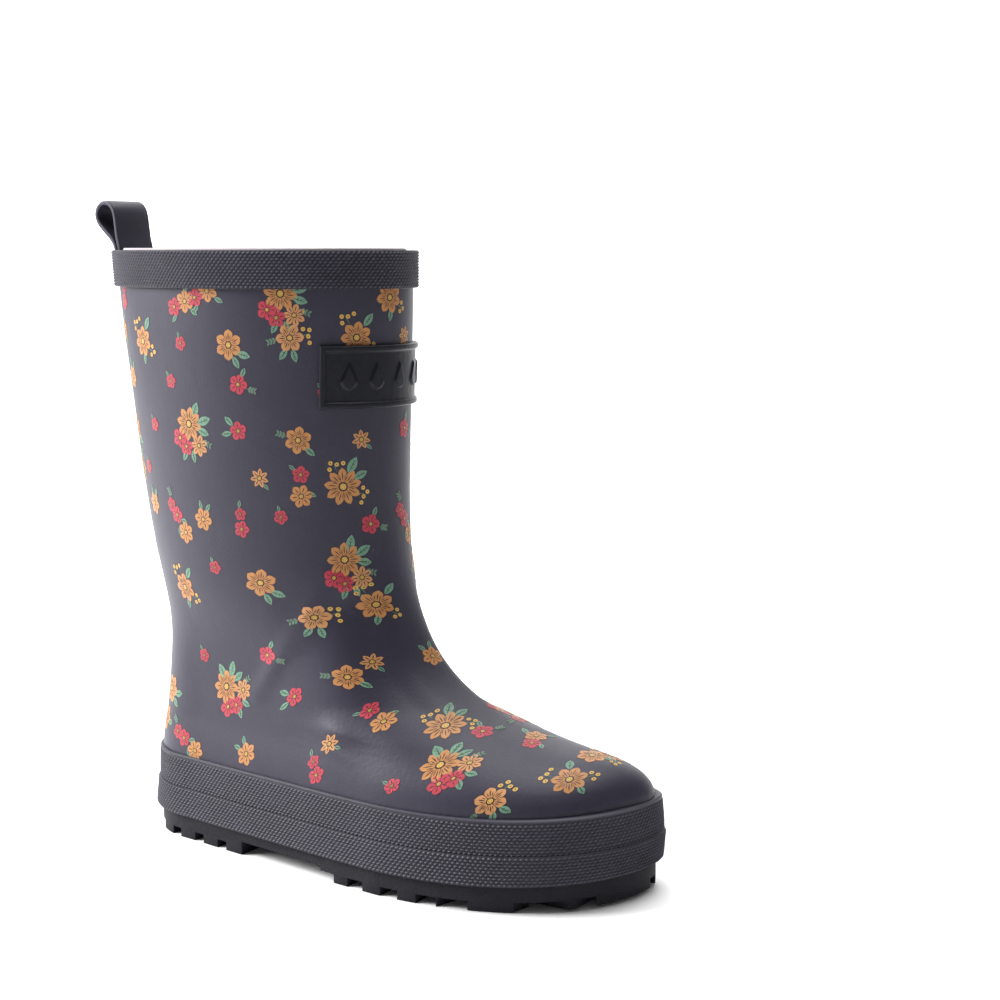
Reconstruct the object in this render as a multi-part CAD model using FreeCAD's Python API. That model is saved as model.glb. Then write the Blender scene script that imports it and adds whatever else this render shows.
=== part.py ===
import FreeCAD, Part
import math
import os

# Child's rubber rain boot for the right foot, built up from its real layers.
# Millimetres. +X points to the toe, +Y to the inner side of the foot, +Z up.
# The origin is the ground point under the centre of the heel.

os.makedirs("parts", exist_ok=True)
Vector = FreeCAD.Vector

# ---------------------------------------------------------------- driving sizes

# Sole plan, taken round the widest line of the lower foxing strip.
heel_radius = 29.0
toe_tip_x = 161.3
toe_tip_y = 13.0
lateral_ball_x = 88.0
medial_ball_x = 105.0
lateral_widths = [(0.0, 29.0), (25.0, 31.8), (50.0, 34.3), (70.0, 36.4), (88.0, 37.6)]
medial_widths = [(0.0, 29.0), (25.0, 28.3), (50.0, 27.6), (70.0, 29.6), (90.0, 34.0), (105.0, 36.0)]
lateral_toe_power = 2.0
medial_toe_power = 2.7

# Heights of the layers under the foot.
outsole_height = 8.2
foxing_height = 20.8
foxing_strip_height = 9.8
filler_height = 5.0
margin_height = 2.0
board_height = 1.6
toe_spring = 1.5
toe_spring_start = 104.0

# Thicknesses of the walls.
rubber_wall = 2.2
counter_wall = 0.8
lining_wall = 1.2
rand_wall = 2.4
foxing_strip_wall = 1.2
binding_wall = 1.6
badge_wall = 1.9
badge_floor = 1.1
rand_lean = 0.4
toe_lean = 0.3
toe_undercut = 2.0

# Shaft.
boot_height = 200.0
binding_height = 12.3
lining_lip = 0.5

# Upper, read at each height: the back line, the front line and the shaft's half width.
back_line = [(0, -25.4), (29, -25.4), (45, -25.0), (55, -24.3), (68, -24.0), (78, -25.0), (87, -27.0),
             (101, -30.0), (115, -32.5), (150, -37.3), (183, -42.0), (200, -43.8), (215, -45.2)]
front_line = [(29.0, 156.5), (33.0, 156.0), (38.0, 152.8), (41.5, 146.0), (43.5, 137.0), (45.5, 126.5),
              (48.0, 116.5), (51.0, 107.5), (55.0, 98.5), (60.0, 90.5), (66.0, 84.0), (74.0, 78.5),
              (84.0, 74.7), (95.0, 72.0), (108.0, 70.3), (122.0, 69.8), (150.0, 70.2), (183.0, 71.2),
              (200.0, 71.5), (215.0, 71.8)]
shaft_half_width = [(50.0, 28.0), (68.0, 28.5), (78.0, 29.2), (87.0, 30.6), (101.0, 31.8), (115.0, 33.0),
                    (150.0, 35.3), (183.0, 36.3), (200.0, 36.2), (215.0, 36.2)]
ankle_narrowing = [(0.0, 1.0), (29.0, 1.0), (38.0, 0.985), (45.0, 0.95), (55.0, 0.91), (66.0, 0.89),
                   (215.0, 0.89)]
ridge_y = 5.0
ridge_turn = 100.0
ridge_top = 122.0
dome_power = 2.15
foot_top = 54.0
shaft_bottom = 96.0
upper_levels = [0.0, 14.0, 29.0, 33.0, 38.0, 41.5, 43.5, 45.5, 48.0, 51.0, 55.0, 60.0, 66.0, 74.0, 84.0,
                95.0, 108.0, 122.0, 136.0, 150.0, 166.0, 183.0, 200.0, 215.0]
ring_points = 48
fine_steps = 160

# Tread.
tread_depth = 2.9
arch_depth = 4.5
arch_start = 27.0
arch_end = 64.0
sole_recess = 1.8
heel_slots = [(-19.5, 4.4), (-8.0, 4.4), (3.5, 4.4), (15.0, 4.4)]
forefoot_slots = [(63.9, 6.1), (75.8, 6.4), (89.4, 6.6), (102.6, 7.0), (117.0, 9.0), (138.0, 6.0)]
slot_reach = 15.0
channel_width = 4.0
toe_slot_angle = 12.0

# Badge on the shaft's front.
badge_bottom = 150.0
badge_top = 170.0
badge_edge_x = 57.4
badge_border = 2.0

# Pull loop: a rubber strap folded over and sealed under the binding.
strap_width = 16.5
strap_wall = 1.6
loop_radius = 4.5
loop_rise = 11.4
loop_lean = 26.0
loop_clearance = 0.35
loop_foot_radius = 1.7
loop_setback = 1.2
anchor_bottom_gap = 1.0
bulge_fade = 4.5

# Loose insole.
insole_clearance = 0.35
insole_side_gap = 1.3
insole_foam_height = 3.4
insole_cover_height = 0.6
margin_width = 9.0
layer_gap = 0.05

# Stiffeners between the rubber and the lining.
counter_front = 18.0
counter_top = 62.0
puff_back = 108.0
ankle_patch_x = (12.0, 56.0)
ankle_patch_z = (64.0, 106.0)

reach = 400.0


# ---------------------------------------------------------------- small helpers

def smooth_table(table, value):
    """Monotone cubic through a table of (position, size) pairs, held flat past both ends."""
    if value <= table[0][0]:
        return table[0][1]
    if value >= table[-1][0]:
        return table[-1][1]
    slopes = []
    for (x0, y0), (x1, y1) in zip(table, table[1:]):
        slopes.append((y1 - y0) / (x1 - x0))
    tangents = [slopes[0]]
    for before, after in zip(slopes, slopes[1:]):
        if before * after <= 0:
            tangents.append(0.0)
        else:
            tangents.append(2 * before * after / (before + after))
    tangents.append(slopes[-1])
    for index in range(len(slopes)):
        x0, y0 = table[index]
        x1, y1 = table[index + 1]
        if value <= x1:
            span = x1 - x0
            t = (value - x0) / span
            rise = (2 * t ** 3 - 3 * t ** 2 + 1) * y0 + (3 * t ** 2 - 2 * t ** 3) * y1
            lead_in = (t ** 3 - 2 * t ** 2 + t) * tangents[index]
            lead_out = (t ** 3 - t ** 2) * tangents[index + 1]
            return rise + span * (lead_in + lead_out)
    return table[-1][1]


def fade(value, start, end):
    """0 before start, 1 after end, smooth between."""
    t = min(1.0, max(0.0, (value - start) / (end - start)))
    return t * t * (3 - 2 * t)


def box(x_range, y_range, z_range):
    size = [x_range[1] - x_range[0], y_range[1] - y_range[0], z_range[1] - z_range[0]]
    return Part.makeBox(size[0], size[1], size[2], Vector(x_range[0], y_range[0], z_range[0]))


def through(points, places, periodic):
    """Smooth curve through the points at the given parameters."""
    curve = Part.BSplineCurve()
    curve.interpolate(Points=points, PeriodicFlag=periodic, Parameters=places)
    return curve


def skin(rings):
    """Closed solid with one smooth wall through the flat rings, first and last ring capped."""
    round_places = [float(index) for index in range(ring_points + 1)]
    round_curves = [through(ring, round_places, True) for ring in rings]
    up_places = [0.0]
    for low, high in zip(rings, rings[1:]):
        steps = [(after - before).Length for before, after in zip(low, high)]
        up_places.append(up_places[-1] + sum(steps) / len(steps))
    pole_rows = []
    for column in zip(*[curve.getPoles() for curve in round_curves]):
        up_curve = through(list(column), up_places, False)
        pole_rows.append(up_curve.getPoles())
    wall = Part.BSplineSurface()
    wall.buildFromPolesMultsKnots(
        pole_rows, round_curves[0].getMultiplicities(), up_curve.getMultiplicities(),
        round_curves[0].getKnots(), up_curve.getKnots(), True, False,
        round_curves[0].Degree, up_curve.Degree)
    side = wall.toShape()
    ends = [Part.Face(Part.Wire([round_curves[place].toShape()])) for place in (0, -1)]
    shell = Part.makeShell([side] + ends)
    shell.sewShape()
    solid = Part.Solid(shell)
    if solid.Volume < 0:
        solid.reverse()
    return solid


def save(name, shape):
    solids = shape.Solids
    if not solids:
        raise ValueError(name + " has no solid")
    for solid in solids:
        if not solid.isValid():
            print("not valid:", name)
    kept = [solid for solid in solids if solid.Volume > 0.5]
    piece = kept[0] if len(kept) == 1 else Part.makeCompound(kept)
    piece.exportStep("parts/" + name + ".step")
    print("%-28s %2d solid(s) %9.1f mm3" % (name, len(kept), piece.Volume))
    return piece


# ---------------------------------------------------------------- sole plan

def plan_sides(x, tip_x):
    """The outer and inner side of the plan at x: y of each."""
    tip_share = min(1.0, max(0.0, (x - 60.0) / (tip_x - 60.0)))
    middle = toe_tip_y * tip_share ** 1.5
    lateral = smooth_table(lateral_widths, x)
    medial = smooth_table(medial_widths, x)
    if x > lateral_ball_x:
        share = min(1.0, (x - lateral_ball_x) / (tip_x - lateral_ball_x))
        lateral = (lateral + middle) * (1 - share ** lateral_toe_power) ** (1 / lateral_toe_power) - middle
    if x > medial_ball_x:
        share = min(1.0, (x - medial_ball_x) / (tip_x - medial_ball_x))
        medial = (medial - middle) * (1 - share ** medial_toe_power) ** (1 / medial_toe_power) + middle
    if x < 0:
        end = max(0.0, 1 - (x / heel_radius) ** 2) ** 0.5
        lateral *= end
        medial *= end
    return -lateral, medial


def spread(points):
    """The same line as points an equal distance apart, as many as half a ring has steps."""
    travelled = [0.0]
    for before, after in zip(points, points[1:]):
        travelled.append(travelled[-1] + (after - before).Length)
    count = ring_points // 2
    spaced = []
    for step in range(count + 1):
        goal = travelled[-1] * step / count
        place = 0
        while place < len(points) - 2 and travelled[place + 1] < goal:
            place += 1
        share = (goal - travelled[place]) / (travelled[place + 1] - travelled[place])
        spaced.append(points[place] + (points[place + 1] - points[place]) * share)
    return spaced


def closed_ring(side_point):
    """Ring from side_point(share, side): share runs from 0 at the back to 1 at the front."""
    sides = []
    for side in (0, 1):
        sides.append(spread([side_point(step / fine_steps, side) for step in range(fine_steps + 1)]))
    return sides[0] + sides[1][-2:0:-1]


def plan_ring(z, inset, tip_pull=0.0):
    """Closed outline of the sole at height z, moved inwards by inset."""
    tip_x = toe_tip_x - tip_pull

    def side_point(share, side):
        x = -heel_radius + (tip_x + heel_radius) * (1 - math.cos(math.pi * share)) / 2
        return Vector(x, plan_sides(x, tip_x)[side], z)

    return inset_ring(closed_ring(side_point), inset)


def inset_ring(points, inset):
    moved = []
    count = len(points)
    for index, point in enumerate(points):
        along = points[(index + 1) % count] - points[index - 1]
        inwards = Vector(-along.y, along.x, 0)
        inwards.normalize()
        moved.append(point + inwards * inset)
    return moved


def spring_cutter(height):
    """Everything below a surface at this height that curls up gently towards the toe."""
    run = toe_tip_x - toe_spring_start
    radius = (run ** 2 + toe_spring ** 2) / (2 * toe_spring)
    end = toe_tip_x + 20.0
    middle = (toe_spring_start + end) / 2
    rise = [radius - math.sqrt(radius ** 2 - (x - toe_spring_start) ** 2) for x in (middle, end)]
    left = Vector(-reach, 0, height)
    start = Vector(toe_spring_start, 0, height)
    mid = Vector(middle, 0, height + rise[0])
    last = Vector(end, 0, height + rise[1])
    low_right = Vector(end, 0, -reach)
    low_left = Vector(-reach, 0, -reach)
    edges = [Part.LineSegment(left, start), Part.Arc(start, mid, last), Part.LineSegment(last, low_right),
             Part.LineSegment(low_right, low_left), Part.LineSegment(low_left, left)]
    face = Part.Face(Part.Wire([edge.toShape() for edge in edges]))
    return face.translated(Vector(0, -reach / 2, 0)).extrude(Vector(0, reach, 0))


def below_sprung(shape, height):
    return shape.common(spring_cutter(height))


def above_sprung(shape, height):
    return shape.cut(spring_cutter(height))


def flat_band(low, high):
    return box((-reach, reach), (-reach, reach), (low, high))


# ---------------------------------------------------------------- upper

def ridge_height(x):
    """Height of the vamp's ridge over x."""
    vamp_line = [(-px, pz) for pz, px in front_line if pz <= ridge_top]
    return smooth_table(vamp_line, -x) if x > -vamp_line[-1][0] else reach


def upper_point(share, side, z):
    """Point of the rubber upper's outer face: share of the way from the back line to the front line."""
    turn = math.pi * share
    back = smooth_table(back_line, z)
    front = smooth_table(front_line, z)
    x = back + (front - back) * (1 - math.cos(turn)) / 2
    # as a foot: the sole's plan, closing over the ridge like a dome
    wall = foxing_strip_wall + rand_wall
    tip_x = front_line[0][1]
    lateral, medial = plan_sides(max(x, 0.0), tip_x)
    centre = (lateral + medial) / 2
    half_width = (medial - lateral) / 2
    thinner = max(0.0, 1 - wall / max(wall, half_width))
    lateral = centre + (lateral - centre) * thinner
    medial = centre + (medial - centre) * thinner
    round_heel = min(1.0, max(0.0, (x - back) / (heel_radius - wall)))
    heel_share = (1 - (1 - round_heel) ** 2) ** 0.5
    low = front_line[0][0]
    dome = 1.0
    if z > low:
        top = max(ridge_height(x), z)
        dome = max(0.0, 1 - ((z - low) / (top - low)) ** dome_power) ** (1 / dome_power)
    middle = 0.0
    if x > 60.0:
        climb = min(1.0, max(0.0, (z - low) / max(1.0, ridge_height(x) - low)))
        base = (lateral + medial) / 2
        ridge = ridge_y + (base - ridge_y) * fade(x, ridge_turn, tip_x)
        middle = base + (ridge - base) * climb ** 2
    narrow = smooth_table(ankle_narrowing, z)
    edge = medial if side else lateral
    foot_y = middle + (edge - middle) * dome * heel_share * narrow
    # as a shaft: a plain oval
    half = smooth_table(shaft_half_width, z)
    shaft_y = half * math.sin(turn) * (1 if side else -1)
    mix = fade(z, foot_top, shaft_bottom)
    return Vector(x, foot_y * (1 - mix) + shaft_y * mix, z)


def upper_ring(z):
    return closed_ring(lambda share, side: upper_point(share, side, z))


outer_rings = [upper_ring(z) for z in upper_levels]


def upper_rings(inset):
    """The upper's rings moved inwards by inset, which is a number or a function of the point."""
    if not callable(inset) and inset == 0:
        return outer_rings
    rings = []
    for level, ring in enumerate(outer_rings):
        above = outer_rings[min(level + 1, len(outer_rings) - 1)]
        below = outer_rings[max(level - 1, 0)]
        moved = []
        for index, point in enumerate(ring):
            round_way = ring[(index + 1) % ring_points] - ring[index - 1]
            up_way = above[index] - below[index]
            flat = upper_levels[level] <= front_line[0][0] or upper_levels[level] >= boot_height
            if flat:
                up_way = Vector(0, 0, 1)
            inwards = up_way.cross(round_way)
            inwards.normalize()
            depth = inset(point) if callable(inset) else inset
            moved.append(point + inwards * depth)
        rings.append(moved)
    return rings


upper_solids = {}


def upper_solid(inset):
    if callable(inset):
        return skin(upper_rings(inset))
    if inset not in upper_solids:
        upper_solids[inset] = skin(upper_rings(inset))
    return upper_solids[inset]


def sole_core(inset, low, top):
    """Straight-walled block inside the upper's foot."""
    ring = [Vector(point.x, point.y, low) for point in inset_ring(outer_rings[0], inset)]
    places = [float(index) for index in range(ring_points + 1)]
    outline = Part.Wire([through(ring, places, True).toShape()])
    return Part.Face(outline).extrude(Vector(0, 0, top - low))


# ---------------------------------------------------------------- heights that follow

foxing_top = outsole_height + foxing_height
filler_top = outsole_height + filler_height
margin_top = filler_top + margin_height
board_top = margin_top + board_height
lining_top = boot_height + lining_lip
lining_floor = board_top + lining_wall
insole_bottom = lining_floor + insole_clearance
foam_top = insole_bottom + insole_foam_height
cover_top = foam_top + insole_cover_height
binding_bottom = boot_height - binding_height
lining_inset = rubber_wall + lining_wall
counter_inset = rubber_wall - counter_wall

foot_volume = upper_solid(0)

# ---------------------------------------------------------------- rubber upper

cavity = upper_solid(rubber_wall).common(flat_band(margin_top, reach))
margin_window = sole_core(rubber_wall + margin_width, 0.0, margin_top)
shell = foot_volume.common(flat_band(filler_top, boot_height)).cut(cavity).cut(margin_window)

counter_layer = upper_solid(counter_inset).cut(upper_solid(rubber_wall))
heel_zone = box((-reach, counter_front), (-reach, reach), (margin_top, counter_top))
toe_zone = box((puff_back, reach), (-reach, reach), (margin_top, counter_top))
patch_height = ankle_patch_z[1] - ankle_patch_z[0]
patch_length = ankle_patch_x[1] - ankle_patch_x[0]


def ankle_zone(side):
    """Rounded oblong region over one side of the ankle."""
    zone = Part.makeBox(patch_length, reach, patch_height, Vector(ankle_patch_x[0], 0, ankle_patch_z[0]))
    upright = [edge for edge in zone.Edges if abs(edge.BoundBox.YLength - reach) < 0.01]
    zone = zone.makeFillet(patch_height * 0.3, upright)
    if side < 0:
        zone.translate(Vector(0, -reach, 0))
    return zone


heel_counter = counter_layer.common(heel_zone)
toe_puff = counter_layer.common(toe_zone)
lateral_ankle_patch = counter_layer.common(ankle_zone(-1))
medial_ankle_patch = counter_layer.common(ankle_zone(1))
for stiffener in (heel_counter, toe_puff, lateral_ankle_patch, medial_ankle_patch):
    shell = shell.cut(stiffener)
save("rubber_upper", shell)
save("heel_counter", heel_counter)
save("toe_puff", toe_puff)
save("ankle_patch_lateral", lateral_ankle_patch)
save("ankle_patch_medial", medial_ankle_patch)

# ---------------------------------------------------------------- textile lining

sock = upper_solid(rubber_wall).common(flat_band(board_top, lining_top))
sock = sock.cut(upper_solid(lining_inset).common(flat_band(lining_floor, reach)))
save("lining_sock", sock)

# ---------------------------------------------------------------- bottom build-up

filler = below_sprung(foot_volume, filler_top).common(flat_band(0, filler_top))
filler = above_sprung(filler, outsole_height)
save("midsole_filler", filler)

felt = sole_core(rubber_wall + margin_width + layer_gap, filler_top, margin_top)
save("bottom_felt", felt)

board = upper_solid(rubber_wall + layer_gap).common(flat_band(margin_top, board_top))
save("insole_board", board)

insole_shape = upper_solid(lining_inset + insole_side_gap)
save("insole_foam", insole_shape.common(flat_band(insole_bottom, foam_top)))
save("insole_cover", insole_shape.common(flat_band(foam_top, cover_top)))

# ---------------------------------------------------------------- rand and foxing

rand_outer = skin([
    plan_ring(0.0, foxing_strip_wall, toe_undercut),
    plan_ring(outsole_height, foxing_strip_wall, toe_undercut),
    plan_ring(outsole_height + foxing_strip_height, foxing_strip_wall + 0.2 * rand_lean),
    plan_ring(foxing_top, foxing_strip_wall + rand_lean, toe_lean),
    plan_ring(foxing_top + 6.0, foxing_strip_wall + 1.5 * rand_lean, 1.5 * toe_lean),
])
rand = below_sprung(rand_outer, foxing_top)
rand = above_sprung(rand, outsole_height).cut(foot_volume)
save("rand_strip", rand)

strip_outer = skin([
    plan_ring(0.0, 0.0, toe_undercut),
    plan_ring(outsole_height, 0.0, toe_undercut),
    plan_ring(outsole_height + foxing_strip_height, 0.0),
    plan_ring(foxing_top, 0.3 * rand_lean, toe_lean),
])
strip = below_sprung(strip_outer, outsole_height + foxing_strip_height)
strip = above_sprung(strip, outsole_height).cut(rand_outer)
save("foxing_strip", strip)

# ---------------------------------------------------------------- outsole

sole_block = skin([
    plan_ring(-5.0, sole_recess, toe_undercut),
    plan_ring(outsole_height + 6.0, sole_recess, toe_undercut),
])
sole_base = above_sprung(below_sprung(sole_block, outsole_height), tread_depth)
tread = above_sprung(below_sprung(sole_block, tread_depth), 0.0)


def slot_pair(start, width, skew):
    """Two slots across the tread, one from each edge, leaving a solid bar between them."""
    cutters = []
    for side in (-1, 1):
        low, high = (-reach, -slot_reach) if side < 0 else (slot_reach, reach)
        slot = box((start, start + width), (low, high), (-10.0, 10.0))
        slot.rotate(Vector(start, 0, 0), Vector(0, 0, 1), side * skew)
        cutters.append(slot)
    return cutters


cutters = [box((arch_start, arch_end), (-reach, reach), (-10.0, 10.0))]
for start, width in heel_slots:
    cutters += slot_pair(start, width, 0.0)
for start, width in forefoot_slots:
    cutters += slot_pair(start, width, toe_slot_angle if start > medial_ball_x else 0.0)
# a zigzag channel each side of the middle bar, and cross channels through the bar
for side in (-1, 1):
    for first, last in ((-reach, arch_start), (arch_end, reach)):
        low = side * (slot_reach + channel_width / 2) - channel_width / 2
        cutters.append(box((first, last), (low, low + channel_width), (-10.0, 10.0)))
heel_bar_slots = [x + 9.0 for x, width in heel_slots[:-1] if abs(x + 9.0) > 6]
bar_slots = heel_bar_slots + [x + 9.5 for x, width in forefoot_slots]
for start in bar_slots:
    cutters.append(box((start, start + channel_width), (-slot_reach, slot_reach), (-10.0, 10.0)))
lugs = tread.cut(Part.makeCompound(cutters))
lugs = Part.makeCompound([lug for lug in lugs.Solids if lug.Volume > 15.0])
arch_hollow = box((arch_start, arch_end), (-reach, reach), (-10.0, arch_depth))
outsole = sole_base.cut(arch_hollow).fuse(lugs).removeSplitter()
save("outsole", outsole)

# ---------------------------------------------------------------- top binding and pull loop

anchor_bottom = binding_bottom + anchor_bottom_gap
anchor_wall = 2 * strap_wall
half_strap = strap_width / 2


def binding_offset(point):
    """The binding's outer face: its own wall, and the strap's two layers under it at the back."""
    offset = -binding_wall
    if point.x < 0:
        offset -= anchor_wall * (1 - fade(abs(point.y), half_strap + 1.0, half_strap + 1.0 + bulge_fade))
    return offset


anchor_zone = box((-reach, 0), (-half_strap, half_strap), (anchor_bottom, boot_height))
inner_leg = upper_solid(-strap_wall).cut(foot_volume).common(anchor_zone)
outer_leg = upper_solid(-anchor_wall).cut(upper_solid(-strap_wall)).common(anchor_zone)
anchors = Part.makeCompound([inner_leg, outer_leg])
save("loop_anchor_legs", anchors)

binding = upper_solid(binding_offset).common(flat_band(binding_bottom, boot_height)).cut(foot_volume)
binding = binding.cut(inner_leg).cut(outer_leg)
save("top_binding", binding)

pinch_x = smooth_table(back_line, boot_height) - strap_wall - loop_setback
pinch_z = boot_height + loop_clearance + loop_foot_radius


def teardrop(radius, foot_radius):
    """Outline of a teardrop: a small round foot, two straight sides and a round head, as a face."""
    head = Vector(0, 0, loop_rise)
    tilt = math.asin((radius - foot_radius) / loop_rise)
    side = Vector(math.cos(tilt), 0, -math.sin(tilt))
    foot_side = side * foot_radius
    head_side = head + side * radius
    foot_other = Vector(-foot_side.x, 0, foot_side.z)
    head_other = Vector(-head_side.x, 0, head_side.z)
    crown = head + Vector(0, 0, radius)
    sole = Vector(0, 0, -foot_radius)
    edges = [Part.LineSegment(foot_side, head_side), Part.Arc(head_side, crown, head_other),
             Part.LineSegment(head_other, foot_other), Part.Arc(foot_other, sole, foot_side)]
    return Part.Face(Part.Wire([edge.toShape() for edge in edges]))


def extruded_across(face, width):
    return face.translated(Vector(0, -width / 2, 0)).extrude(Vector(0, width, 0))


outside = extruded_across(teardrop(loop_radius + strap_wall / 2, loop_foot_radius), strap_width)
hole_foot = 0.35
inside = extruded_across(teardrop(loop_radius - strap_wall / 2, hole_foot), strap_width + 2)
hole_floor = box((-reach, reach), (-reach, reach), (-reach, loop_foot_radius))
loop = outside.cut(inside.cut(hole_floor))
loop.rotate(Vector(0, 0, 0), Vector(0, 1, 0), -loop_lean)
loop.translate(Vector(pinch_x, 0, pinch_z))
save("pull_loop", loop)

# ---------------------------------------------------------------- badge

badge_zone = box((badge_edge_x, reach), (-reach, reach), (badge_bottom, badge_top))
badge = upper_solid(-badge_wall).cut(foot_volume).common(badge_zone)
window_x = badge_edge_x + badge_border
window = box((window_x, reach), (-reach, reach), (badge_bottom + badge_border, badge_top - badge_border))
badge = badge.cut(window.cut(upper_solid(-badge_floor)))
save("badge", badge)
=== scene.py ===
import bpy
import bmesh
import math
import numpy as np
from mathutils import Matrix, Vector, noise
from mathutils.bvhtree import BVHTree


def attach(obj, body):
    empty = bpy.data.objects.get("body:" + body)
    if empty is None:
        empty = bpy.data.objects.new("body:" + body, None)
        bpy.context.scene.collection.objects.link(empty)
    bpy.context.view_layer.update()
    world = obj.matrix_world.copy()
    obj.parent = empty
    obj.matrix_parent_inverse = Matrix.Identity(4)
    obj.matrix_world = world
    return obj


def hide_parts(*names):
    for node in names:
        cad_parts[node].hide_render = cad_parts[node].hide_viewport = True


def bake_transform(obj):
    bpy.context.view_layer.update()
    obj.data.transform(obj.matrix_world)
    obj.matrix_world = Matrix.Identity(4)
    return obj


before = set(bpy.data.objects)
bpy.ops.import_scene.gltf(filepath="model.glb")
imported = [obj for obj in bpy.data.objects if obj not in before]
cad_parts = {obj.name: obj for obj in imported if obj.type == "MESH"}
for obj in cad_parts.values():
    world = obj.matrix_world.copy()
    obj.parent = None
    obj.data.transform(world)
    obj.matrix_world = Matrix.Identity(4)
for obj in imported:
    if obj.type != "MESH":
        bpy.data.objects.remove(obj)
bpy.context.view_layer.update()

# ---------------------------------------------------------------- printed rubber upper
# One moulded skin of matte rubber, dark blue-grey, 2.2 mm thick. It follows the CAD upper in level rings,
# closer together over the flat top of the foot, with a soft raised fold running down each side of the ankle.
MM = 0.001
upper_columns = 220
upper_colour = (0.021, 0.0185, 0.033)
fold_height = 0.95 * MM
# Where the fold starts, how far it runs forward and climbs, and its half width, in millimetres.
fold_x, fold_z = 31.0, 54.0
fold_run, fold_climb = 30.0, 40.0
fold_half_width = 3.4


def cad_tree(*names):
    """Search tree over the surfaces of CAD nodes."""
    places, faces = [], []
    for name in names:
        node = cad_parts[name]
        first = len(places)
        places += [node.matrix_world @ vertex.co for vertex in node.data.vertices]
        faces += [[first + index for index in face.vertices] for face in node.data.polygons]
    return BVHTree.FromPolygons(places, faces)


def spread(line, count):
    """The same open line as count + 1 points an equal distance apart."""
    line = np.array(line)
    travelled = np.concatenate([[0], np.cumsum(np.linalg.norm(np.diff(line, axis=0), axis=1))])
    goals = np.linspace(0, travelled[-1], count + 1)
    return np.stack([np.interp(goals, travelled, line[:, axis]) for axis in range(3)], 1)


def eased(value):
    """0 below 0 and 1 above 1, with a smooth start and end."""
    value = min(1.0, max(0.0, value))
    return value * value * (3 - 2 * value)


def forwardness(place):
    """Highest where a level ring crosses the middle line of the boot's front."""
    return place[0] - 0.3 * abs(place[1] - 0.011 * eased((place[0] - 0.080) / 0.060))


def softened(ring):
    """Rounds off the ankle's front corners, from 46 to 97 mm up, where the foot runs up into the shaft."""
    reach = len(ring) // 20
    soft = ring
    for repeat in range(2):
        soft = sum(np.roll(soft, shift, axis=0) for shift in range(-reach, reach + 1)) / (2 * reach + 1)
    height = ring[0][2] / MM
    share = eased((height - 46) / 10) * eased((97 - height) / 14)
    shares = [share * eased((x / MM - 36) / 14) * eased((abs(y) / MM - 7) / 10) for x, y, z in ring]
    return ring + (soft - ring) * np.array(shares)[:, None]


def level_ring(tree, z, columns, inside=False, rays=720):
    """Ring round a CAD surface at one height: from the back line by the outer side to the front and home."""
    back = tree.ray_cast(Vector((-0.3, 0, z)), Vector((1, 0, 0)))[0]
    front = tree.ray_cast(Vector((0.4, 0.004, z)), Vector((-1, 0, 0)))[0]
    centre = Vector(((back.x + front.x) / 2, 0, z))
    places = []
    for step in range(rays):
        turn = -math.pi + 2 * math.pi * step / rays
        out = Vector((math.cos(turn), math.sin(turn), 0))
        place = tree.ray_cast(centre, out)[0] if inside else tree.ray_cast(centre + out * 0.4, -out)[0]
        if place is not None:
            places.append(tuple(place))
    tip = max(range(len(places)), key=lambda index: forwardness(places[index]))
    outer_side = spread(places[:tip + 1], columns // 2)
    inner_side = spread(places[tip:] + places[:1], columns // 2)
    return softened(np.concatenate([outer_side[:-1], inner_side[:-1]]))


def outwards(ring):
    """Level unit vectors pointing out of a ring."""
    along = np.roll(ring, -1, axis=0) - np.roll(ring, 1, axis=0)
    out = np.stack([along[:, 1], -along[:, 0], np.zeros(len(ring))], 1)
    return out / np.linalg.norm(out, axis=1)[:, None]


def ring_mesh(name, rings, ends="joined", smooth=True):
    """Closed mesh over rings of one length. Its ends are joined, or each is closed over its middle."""
    count = len(rings[0])
    places = [tuple(place) for ring in rings for place in ring]
    faces = []
    for row in range(len(rings) if ends == "joined" else len(rings) - 1):
        low, high = row * count, (row + 1) % len(rings) * count
        for column in range(count):
            after = (column + 1) % count
            faces.append((low + column, low + after, high + after, high + column))
    if ends == "middle":
        for first, ring in ((0, rings[0]), ((len(rings) - 1) * count, rings[-1])):
            places.append(tuple(np.mean(ring, axis=0)))
            for column in range(count):
                corner = (first + column, first + (column + 1) % count, len(places) - 1)
                faces.append(corner[::-1] if first == 0 else corner)
    return finished_mesh(name, places, faces, smooth)


def finished_mesh(name, places, faces, smooth=True):
    """Piece made of places and faces, with its normals turned outwards."""
    mesh = bpy.data.meshes.new(name)
    mesh.from_pydata(places, [], faces)
    work = bmesh.new()
    work.from_mesh(mesh)
    bmesh.ops.recalc_face_normals(work, faces=work.faces)
    if work.calc_volume(signed=True) < 0:
        bmesh.ops.reverse_faces(work, faces=work.faces)
    for face in work.faces:
        face.smooth = smooth
    work.to_mesh(mesh)
    work.free()
    piece = bpy.data.objects.new(name, mesh)
    bpy.context.scene.collection.objects.link(piece)
    return piece


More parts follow.
